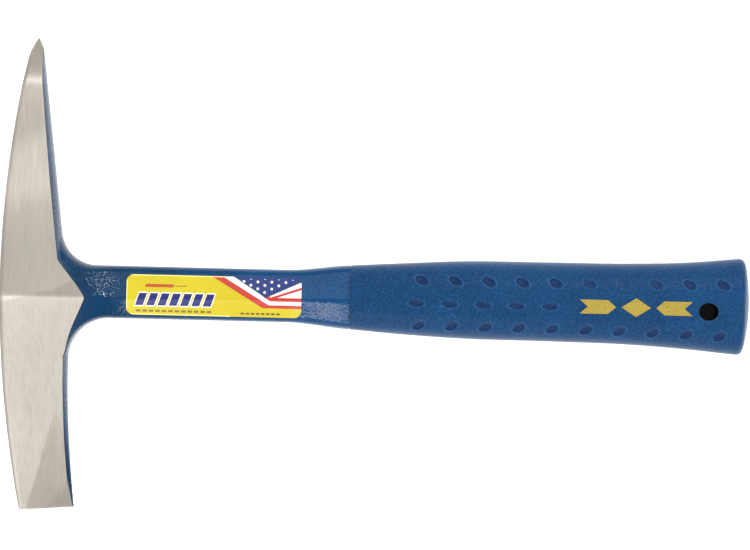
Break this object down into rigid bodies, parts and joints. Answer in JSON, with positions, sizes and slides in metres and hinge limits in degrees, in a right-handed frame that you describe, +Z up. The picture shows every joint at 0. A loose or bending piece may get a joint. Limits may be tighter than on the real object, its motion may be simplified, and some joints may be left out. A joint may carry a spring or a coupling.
{
  "type": "rock hammer",
  "caption": "One-piece forged rock hammer with a pointed pick, a chisel end, an enamelled neck and a dimpled moulded grip with a hang hole.",
  "frame": {"origin": "middle of the footprint, on the surface the hammer lies on", "axes": "+X along the handle from the head to the butt, +Y towards the pick, +Z up through the thickness as it lies on its side"},
  "size_m": [0.2792, 0.176, 0.0222],
  "materials": {
    "ground_steel": "belt-ground along the head, satin",
    "blue_enamel": "glossy enamel with a fine orange peel",
    "blue_vinyl": "moulded vinyl, semi-matt",
    "yellow_film": "printed adhesive film",
    "gold_foil": "hot-stamped foil"
  },
  "bodies": {
    "root": {"forging": "ground_steel", "enamel_coat": "blue_enamel", "grip": "blue_vinyl", "neck_label": "yellow_film", "grip_mark_lozenge": "gold_foil", "grip_mark_head_side": "gold_foil", "grip_mark_butt_side": "gold_foil"}
  },
  "joints": []
}
